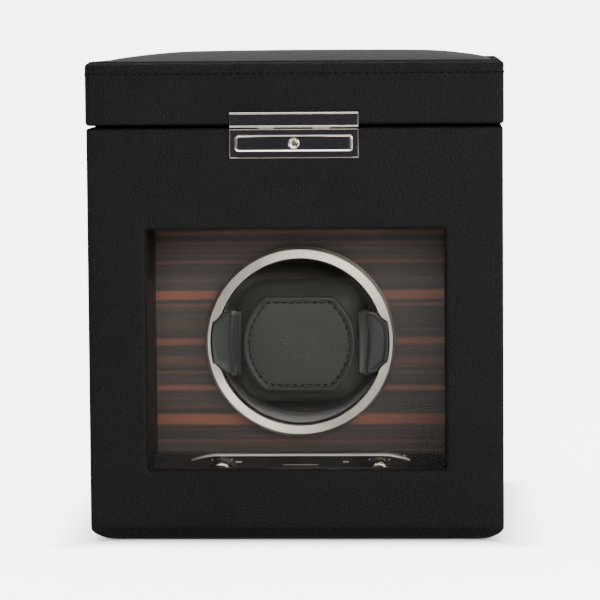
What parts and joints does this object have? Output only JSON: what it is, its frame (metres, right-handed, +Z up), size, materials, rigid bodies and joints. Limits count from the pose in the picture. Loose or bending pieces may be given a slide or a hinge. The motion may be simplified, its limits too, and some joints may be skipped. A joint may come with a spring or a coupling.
{
  "type": "watch winder box",
  "caption": "Leather-wrapped watch winder box: hinged storage lid over a glazed drop-front bay with a slowly turning drum, removable watch cuff and winding controls.",
  "frame": {"origin": "centre of the underside of the case, on the surface it stands on", "axes": "+Z up, front of the case faces -Y, +X to the right seen from the front"},
  "size_m": [0.206, 0.22, 0.2427],
  "materials": {
    "suede": "dark suede-cloth lining",
    "board": "medium density fibreboard",
    "veneer": "striped ebony veneer, gloss lacquer",
    "case_leather": "black pebble-grain leather",
    "cuff_leather": "dark grey smooth leather",
    "foam": "soft polyurethane foam",
    "black_plastic": "moulded, satin",
    "chrome": "polished and fine-brushed",
    "steel": "plated steel",
    "glass": "clear float glass"
  },
  "bodies": {
    "case": {"base_pad": "suede", "base_board": "board", "side_boards": "board", "back_board": "board", "shelf_board": "board", "storage_front_board": "board", "body_leather_wrap": "case_leather", "bay_walls": "veneer", "bay_floor_liner": "suede", "bay_ceiling_liner": "suede", "fascia_panel": "veneer", "control_plinth": "black_plastic", "control_fascia": "black_plastic", "console_trim": "chrome", "rotary_switches": "black_plastic", "control_pcb": "black_plastic", "drive_plate": "steel", "drum_bearing": "black_plastic", "gear_motor": "steel", "motor_screws": "steel", "power_jack": "black_plastic", "jack_pin": "steel", "jack_nut": "steel", "storage_floor_liner": "suede", "storage_divider": "board", "body_hinge_leaves": "steel", "lid_hinge_pins": "steel", "door_hinge_arms": "steel"},
    "lid": {"lid_top_board": "board", "lid_rail_front": "board", "lid_rail_back": "board", "lid_rails_side": "board", "lid_foam_pad": "foam", "lid_leather_cover": "case_leather", "lid_lining": "suede", "hasp_plate": "chrome", "lid_hinge_leaves": "steel"},
    "door": {"door_bottom_rail": "board", "door_top_rail": "board", "door_stiles": "board", "door_leather_cover": "case_leather", "door_lining": "suede", "window_glass": "glass", "glass_bead": "board", "lock_plate": "chrome", "lock_case": "steel", "door_hinge_pins": "steel"},
    "push_bar": {"push_bar": "chrome"},
    "key_cylinder": {"key_cylinder": "chrome"},
    "drum": {"drum_cup": "black_plastic", "drum_ring": "chrome", "drum_gear": "black_plastic", "drum_shaft": "steel"},
    "cuff": {"cuff_core": "black_plastic", "cuff_pad": "cuff_leather", "cuff_patch": "cuff_leather", "cuff_ends": "black_plastic"},
    "pinion": {"drive_pinion": "black_plastic"},
    "direction_knob": {"direction_knob": "chrome"},
    "turns_knob": {"turns_knob": "chrome"}
  },
  "joints": [
    {"name": "lid_hinge", "type": "hinge", "parent": "case", "child": "lid", "pos_m": [0, 0.108, 0.2059], "axis": [-1, 0, 0], "range_deg": [0, 95]},
    {"name": "door_hinge", "type": "hinge", "parent": "case", "child": "door", "pos_m": [0, -0.099, 0.0088], "axis": [1, 0, 0], "range_deg": [0, 90]},
    {"name": "push_bar_slide", "type": "slide", "parent": "door", "child": "push_bar", "axis": [0, 1, 0], "range_m": [0, 0.0015], "stiffness_N_per_m": 800},
    {"name": "key_turn", "type": "hinge", "parent": "push_bar", "child": "key_cylinder", "pos_m": [0, -0.108, 0.1976], "axis": [0, 1, 0], "range_deg": [0, 90]},
    {"name": "drum_spin", "type": "hinge", "parent": "case", "child": "drum", "pos_m": [0, -0.05, 0.095], "axis": [0, 1, 0], "continuous": true},
    {"name": "pinion_spin", "type": "hinge", "parent": "case", "child": "pinion", "pos_m": [0, 0.0075, 0.059], "axis": [0, 1, 0], "continuous": true},
    {"name": "cuff_pull", "type": "slide", "parent": "drum", "child": "cuff", "axis": [0, -1, 0], "range_m": [0, 0.026]},
    {"name": "direction_turn", "type": "hinge", "parent": "case", "child": "direction_knob", "pos_m": [-0.04, -0.06, 0.029], "axis": [0, 1, 0], "range_deg": [-60, 60]},
    {"name": "turns_turn", "type": "hinge", "parent": "case", "child": "turns_knob", "pos_m": [0.04, -0.06, 0.029], "axis": [0, 1, 0], "range_deg": [-135, 135]}
  ],
  "couplings": [
    {"joint": "pinion_spin", "follows": "drum_spin", "ratio": -5}
  ]
}
